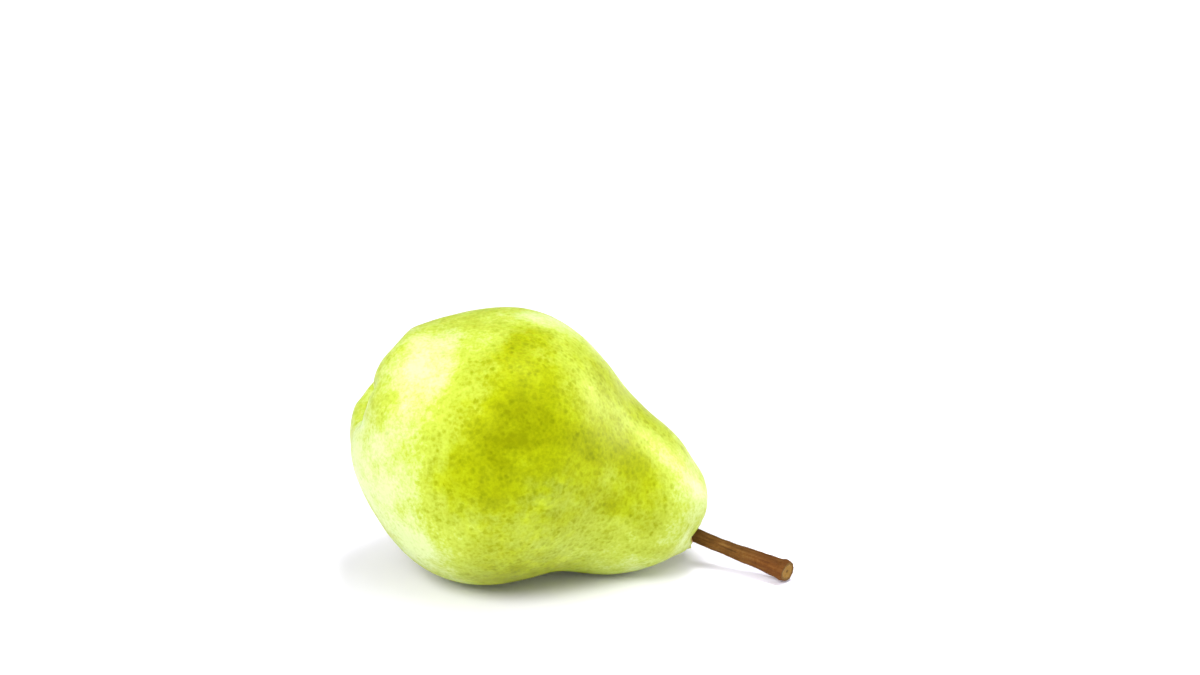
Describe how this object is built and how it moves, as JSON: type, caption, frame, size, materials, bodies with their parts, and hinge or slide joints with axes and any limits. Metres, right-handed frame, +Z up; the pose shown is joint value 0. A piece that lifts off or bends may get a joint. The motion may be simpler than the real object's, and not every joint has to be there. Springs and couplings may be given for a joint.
{
  "type": "pear",
  "caption": "Whole green pear lying on its side, with a woody stem set in its narrow end and a dried calyx in the basin at its broad end.",
  "frame": {"origin": "on the surface that the pear lies on, under the middle of its bounding box", "axes": "+X along the pear's length, from the calyx towards the stem; +Z up; the stem leans towards -Y"},
  "size_m": [0.1118, 0.0712, 0.0693],
  "materials": {
    "skin": "satin waxy fruit skin, yellow-green with olive mottling and fine darker dots",
    "stem_wood": "dry, dull, ridged along its length",
    "dried_calyx": "dry, dull, leathery"
  },
  "bodies": {
    "root": {"pear_body": "skin", "stem": "stem_wood", "calyx": "dried_calyx"}
  },
  "joints": []
}
